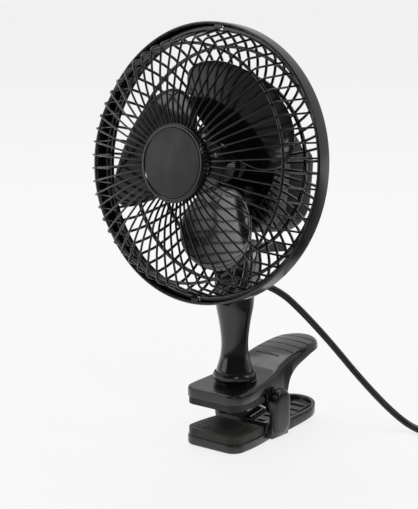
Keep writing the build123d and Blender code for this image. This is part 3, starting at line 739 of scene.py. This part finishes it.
def fan_blade():
    """The wheel: three leaves, and the hub with its oval crown and its sleeve."""
    made = bmesh.new()
    for i in range(BLADES):
        leaf(made, BLADE_FIRST + 2 * math.pi * i / BLADES)
    crown = [
        (HUB_R * math.sin(a), CROWN_BASE + CROWN_RISE * math.cos(a))
        for a in (math.pi / 2 * k / 16 for k in range(17))
    ]
    inside = rounded([
        (HUB_R, -4), (HUB_R, -11), (HUB_R - 2, -11), (HUB_R - 2, 1.5), (HUB_R - 6, 6.4), (6.2, 6.4),
        (6.2, -9), (3.2, -9), (3.2, 6.0), (0, 6.0),
    ], [0, 0.5, 0.5, 3, 3, 1, 0.4, 0, 0, 0])
    lathe(made, crown + inside, closed=False)
    finish_piece(made, "blade_wheel", "fan", "blade_black", ["fan_blade"], HEAD)


fan_blade()

# ------------------------------------------------------------------ clip, upper half
JAW_FRONT = -17.4
JAW_HALF = 22.5
JAW_CORNER = 9.0
WAIST_HALF = 18.0
UPPER_HANDLE = (77.0, 17.0)
WALL = 2.6
PLATE_BOTTOM = 33.0
HOLLOW_FRONT = 21.5
PIVOT_Y, PIVOT_Z = 30.0, 26.0
EAR_R = 9.0
STALK_Y = 10.2
SOCKET_R = 12.9
SOCKET_FLOOR = 41.8
COLLAR_R = 14.5
COLLAR_TOP = 48.0
DOME_DROP = 1.5              # the thumb pad is this much lower at its sides
DOME_HALF = 17.5             # which are this far from its middle line
TOP_LINE = [
    (-18.4, 39.5), (5, 41), (20, 43), (33, 45.8), (42.5, 50.2), (53, 53.6), (72, 56), (96, 56.8),
]
HOLLOW_LINE = [(21.5, 40.2), (33, 43.0), (43, 47.6), (53, 50.6), (72, 52.6), (96, 53.0)]
HEM_LINE = [(47, 29), (50, 37), (57, 42.8), (67, 46.4), (80, 50.0), (96, 50.4)]
HEM_TURN = 19.0              # the hem leaves the flat plate here
HEM_SLOPE = 3.5              # and goes down to the ear at this slope
HEM_ARC = (31.58, 32.8, 15.88)         # centre and radius of the hem behind the pivot
LIP = (                      # inset from the outline, and height over the hem
    (0.0, 0.5), (0.15, 0.15), (0.5, 0.0), (WALL - 0.4, 0.0), (WALL, 0.4),
)
EDGE_R = 1.5                 # radius of the rolled edge at the jaw
EDGE_GAIN = 1.7              # and how much more it is at the thumb pad
ROLL_STEPS = 6               # rows of faces in the rolled edge
ROW_POINTS = 15              # vertices in each row across the broad face
GROOVE_FIRST = 47.0
GROOVE_STEP = 8.9
GROOVE_HALVES = (9.0, 14.3, 15.2, 15.2, 13.2, 7.1)     # half the length of each groove
GROOVE_WIDE = 0.7            # half width of the oval cutter
GROOVE_DEEP = 1.5            # and its half height
GROOVE_LIFT = 0.2            # its middle line stands this much over the face
GROOVE_SIDES = 10


def height_at(points, y):
    """Height of a smooth side line at a place along the clip."""
    line = smooth_loop(points, 12)
    for one, two in zip(line, line[1:]):
        if one.x <= y <= two.x:
            return one.y + (two.y - one.y) * (y - one.x) / max(1e-9, two.x - one.x)
    return line[0].y if y < line[0].x else line[-1].y


def hem_height(y):
    """Lower edge of the upper half: flat under the jaw, round the ear, then up to the handle."""
    if y <= HEM_TURN:
        return PLATE_BOTTOM
    if y <= PIVOT_Y - EAR_R:
        return PLATE_BOTTOM - (y - HEM_TURN) * HEM_SLOPE
    if y <= PIVOT_Y:
        return PIVOT_Z - math.sqrt(max(0.0, EAR_R**2 - (y - PIVOT_Y)**2))
    if y <= HEM_LINE[0][0]:
        middle_y, middle_z, radius = HEM_ARC
        return middle_z - math.sqrt(max(0.0, radius**2 - (y - middle_y)**2))
    return height_at(HEM_LINE, y)


def clip_side():
    """Right side of the upper half's outline from above, as (x, y, outward x, outward y)."""
    handle_y, handle_r = UPPER_HANDLE
    corner = [math.radians(a) for a in range(-90, 1, 10)]
    out = [(
        JAW_HALF - JAW_CORNER + JAW_CORNER * math.cos(a),
        JAW_FRONT + JAW_CORNER * (1 + math.sin(a)), math.cos(a), math.sin(a),
    ) for a in corner]
    line = smooth_loop([
        (JAW_HALF, JAW_FRONT + JAW_CORNER), (JAW_HALF, 0), (20.6, 18), (WAIST_HALF, 38),
        ((WAIST_HALF + handle_r) / 2, 56), (handle_r, handle_y),
    ], 30)
    for before, here, after in zip(line, line[1:], line[2:]):
        way = (after - before).normalized()
        out.append((here.x, here.y, way.y, -way.x))
    for a in [math.radians(a) for a in range(0, 86, 5)]:
        out.append((
            handle_r * math.cos(a), handle_y + handle_r * math.sin(a), math.cos(a), math.sin(a),
        ))
    return out


def edge_radius(y):
    """Radius of the rolled edge, small at the jaw and larger at the thumb pad."""
    return EDGE_R + EDGE_GAIN * ramp(y, 18, 50)


def crowned(x, y):
    """Height of the upper half's broad face, crowned across the thumb pad."""
    return height_at(TOP_LINE, y) - DOME_DROP * ramp(y, 24, 58) * (x / DOME_HALF)**2


def hollow(y):
    """Height of the hollow's roof, or of the plate's underside in front of it."""
    return PLATE_BOTTOM if y < HOLLOW_FRONT else height_at(HOLLOW_LINE, y)


def upper_shell():
    """The moulded upper half as one closed skin: crowned top, rolled edge, skirt and hollow."""
    side = clip_side()
    columns = ROW_POINTS
    spots = [2 * k / (columns - 1) - 1 for k in range(columns)]
    rim = [(side[0][0] * u, side[0][1], 0.0, -1.0) for u in spots]
    rim += side[1:-1]
    rim += [(side[-1][0] * u, side[-1][1], 0.0, 1.0) for u in spots[::-1]]
    rim += [(-x, y, -nx, ny) for x, y, nx, ny in side[-2:0:-1]]
    made = bmesh.new()

    def rolled(turn):
        """A loop on the rolled edge, from the broad face (no turn) to the side (a quarter)."""
        loop = []
        for x, y, nx, ny in rim:
            r = edge_radius(y)
            inset = r * (1 - math.sin(turn))
            z = crowned(x - nx * r, y - ny * r) - r * (1 - math.cos(turn))
            loop.append(made.verts.new((x - nx * inset, y - ny * inset, z)))
        return loop

    def ring(inset, height):
        """A loop inside the outline, with its height from the place along the clip."""
        return [made.verts.new((x - nx * inset, y - ny * inset, height(y))) for x, y, nx, ny in rim]

    def fill(loop, height):
        """Cross rows between the two sides of a loop."""
        count = len(side) - 2
        right = loop[columns:columns + count]
        left = loop[2 * columns + count:][::-1]
        before = loop[:columns]
        rows = []
        for one, two in zip(left, right):
            row = [one]
            for u in spots[1:-1]:
                x = two.co.x * u
                row.append(made.verts.new((x, two.co.y, height(x, two.co.y))))
            rows.append(row + [two])
        rows.append(loop[columns + count:2 * columns + count][::-1])
        for row in rows:
            for k in range(columns - 1):
                made.faces.new((before[k], before[k + 1], row[k + 1], row[k]))
            before = row

    loops = [rolled(math.pi / 2 * k / ROLL_STEPS) for k in range(ROLL_STEPS + 1)]
    for inset, lift in LIP:
        loops.append(ring(inset, lambda y: hem_height(y) + lift))
    loops.append(ring(WALL, lambda y: max(hollow(y) - 0.6, hem_height(y) + 0.4)))
    loops.append(ring(WALL + 0.6, lambda y: max(hollow(y), hem_height(y) + 0.4)))
    bridge(made, loops)
    fill(loops[0], crowned)
    fill(loops[-1], lambda x, y: hollow(y) if y >= HOLLOW_FRONT else PLATE_BOTTOM + 0.4)
    return made


def groove_cutter(made, y, half):
    """A long oval body across the thumb pad, thinner at its two ends."""
    turns = [2 * math.pi * k / GROOVE_SIDES for k in range(GROOVE_SIDES)]
    rings = []
    for x, share in (
        [(-half - 0.8, 0.2), (-half - 0.5, 0.7)]
        + [(half * (k / 8 - 1), 1.0) for k in range(17)]
        + [(half + 0.5, 0.7), (half + 0.8, 0.2)]
    ):
        z = crowned(x, y) + GROOVE_LIFT
        rings.append([
            made.verts.new((
                x, y + GROOVE_WIDE * share * math.cos(a), z + GROOVE_DEEP * share * math.sin(a),
            )) for a in turns
        ])
    bridge(made, rings)
    made.faces.new(rings[0])
    made.faces.new(rings[-1])


def upper_clip():
    """The upper clip half, with its finger grooves and the collar that the stalk turns in."""
    cuts = bmesh.new()
    for i, half in enumerate(GROOVE_HALVES):
        groove_cutter(cuts, GROOVE_FIRST + GROOVE_STEP * i, half)
    socket = bmesh.new()
    r = SOCKET_R - 0.02
    lathe(socket, [(r, SOCKET_FLOOR), (r, 60), (0, 60), (0, SOCKET_FLOOR)], closed=False)
    socket.transform(Matrix.Translation((0, STALK_Y, 0)))
    made = carved(carved(upper_shell(), cuts), socket)
    collar = bmesh.new()
    outline = rounded([
        (3.0, 38.0), (11.8, 38.0), (11.8, 41.2), (COLLAR_R, 43.6), (COLLAR_R, 46.6),
        (13.6, COLLAR_TOP), (SOCKET_R, COLLAR_TOP), (SOCKET_R, SOCKET_FLOOR), (3.0, SOCKET_FLOOR),
    ], [0, 0, 1.2, 1.6, 1.4, 0.4, 0.3, 0, 0], steps=5, closed=True)
    lathe(collar, outline)
    collar.transform(Matrix.Translation((0, STALK_Y, 0)))
    scrap = bpy.data.meshes.new("scrap")
    bmesh.ops.recalc_face_normals(collar, faces=collar.faces)
    collar.to_mesh(scrap)
    collar.free()
    made.from_mesh(scrap)
    bpy.data.meshes.remove(scrap)
    finish_piece(made, "upper_clip_body", "upper_clip", "clip_black", ["upper_jaw"], smooth=30)


upper_clip()

# ------------------------------------------------------------------ small pieces
LUG_OUT = 23.9
CAP_R = 9.0
CAP_LOW = 12.5               # middle of the cover's lower round end
CAP_STEPS = (                # inset from the outline, and height over the lug
    (0.0, 0.0), (0.0, 0.5), (0.12, 1.0), (0.45, 1.5), (1.0, 1.9), (1.7, 2.15), (2.6, 2.3),
    (4.2, 2.4), (6.5, 2.4), (8.2, 2.4),
)
GLAND_ROOT = (0.0, 19.6, 110.0)
GLAND_R = 4.3                # radius of the strain relief at its root
GLAND_TAPER = 1.25           # and how much less it is past its last rib
GLAND_RIBS = 6
GLAND_GROOVE = 0.45          # depth between two ribs
GLAND_PLAIN = 4.0            # plain length before the ribs
GLAND_END = 1.0              # and after them
HOUSING_BACK = -80.0         # the rear cover's face, on the head's own axis
KNOB_DOWN = -20.0            # the knob's axis, below the head's
DIAL_R = 13.6
FIGURE_SIZE = 5.0
FIGURE_RAISE = 0.15


def pivot_cover(side):
    """A long domed cover on one lug: a flat pad in a soft rounded border."""
    made = bmesh.new()
    outline = []
    for middle, first in ((PIVOT_Z, 0.0), (CAP_LOW, math.pi)):
        for k in range(25):
            a = first + math.pi * k / 24
            outline.append((math.cos(a), math.sin(a), middle))
    rings = [[
        made.verts.new((
            side * (LUG_OUT + height), PIVOT_Y + cos * (CAP_R - inset),
            middle + sin * (CAP_R - inset),
        )) for cos, sin, middle in outline
    ] for inset, height in CAP_STEPS]
    bridge(made, rings)
    made.faces.new(rings[0])
    made.faces.new(rings[-1])
    name = "pivot_cover_right" if side > 0 else "pivot_cover_left"
    finish_piece(made, name, "lower_clip", "clip_black", ["pivot_caps"], smooth=50)


def strain_relief():
    """Ribbed taper round the cord where it leaves the back of the stalk."""
    root, tip = Vector(GLAND_ROOT), Vector(ROUTE[0])
    length = (tip - root).length
    ribbed = length - (GLAND_PLAIN + GLAND_END)
    step = ribbed / GLAND_RIBS
    outline = [(0, -2.5), (GLAND_R - 0.1, -2.5), (GLAND_R, 3.2)]
    for i in range(GLAND_RIBS):
        low = GLAND_PLAIN + ribbed * i / GLAND_RIBS
        r = GLAND_R - GLAND_TAPER * (i + 0.5) / GLAND_RIBS
        outline += [
            (r - GLAND_GROOVE, low), (r - GLAND_GROOVE, low + step * 0.3),
            (r, low + step * 0.42), (r, low + step * 0.9),
        ]
    outline += [(2.95, length - 0.6), (2.6, length), (0, length)]
    made = bmesh.new()
    lathe(made, rounded(outline, 0.18, steps=2), segments=40, closed=False)
    turn = (tip - root).to_track_quat("Z", "Y").to_matrix().to_4x4()
    made.transform(Matrix.Translation(root) @ turn)
    finish_piece(made, "strain_relief", "stalk", "cord_black", ["cord_gland"], smooth=45)


def dial_figure(figure, angle):
    """One raised number beside the speed knob, read from behind."""
    data = bpy.data.curves.new("figure_" + figure, "FONT")
    data.body = figure
    data.size = FIGURE_SIZE
    data.extrude = FIGURE_RAISE
    data.align_x, data.align_y = "CENTER", "CENTER"
    text = add_object("figure", data)
    solid = text.evaluated_get(bpy.context.evaluated_depsgraph_get())
    made = bmesh.new()
    made.from_mesh(bpy.data.meshes.new_from_object(solid))
    bpy.data.objects.remove(text)
    a = math.radians(angle)
    spot = (-DIAL_R * math.cos(a), KNOB_DOWN + DIAL_R * math.sin(a), HOUSING_BACK)
    made.transform(Matrix.Translation(spot) @ Matrix((
        (-1, 0, 0, 0), (0, 1, 0, 0), (0, 0, -1, 0), (0, 0, 0, 1),
    )))
    finish_piece(made, "dial_" + figure, "head", "switch_plastic", [], HEAD)


def clip_spring():
    """The wire spring twists round the pivot; its CAD shape is kept whole and rides on no body."""
    piece = finish_piece(
        cad_shape("torsion_spring"), "clip_spring", None, "steel", ["torsion_spring"],
    )
    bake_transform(piece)


pivot_cover(1)
pivot_cover(-1)
clip_spring()
strain_relief()
for figure, angle in (("0", 90), ("1", 45), ("2", 0)):
    dial_figure(figure, angle)
softened("lower_jaw", "lower_clip", "clip_black", 0.4)
softened("stalk", "stalk", "stalk_black", 0.35)
softened("speed_knob", "knob", "knob_black", 0.4)
softened("front_housing", "head", "housing_black", 0.4)
softened("rear_housing", "head", "housing_black", 0.35)

# ------------------------------------------------------------------ end
bpy.context.scene.view_settings.view_transform = "Standard"
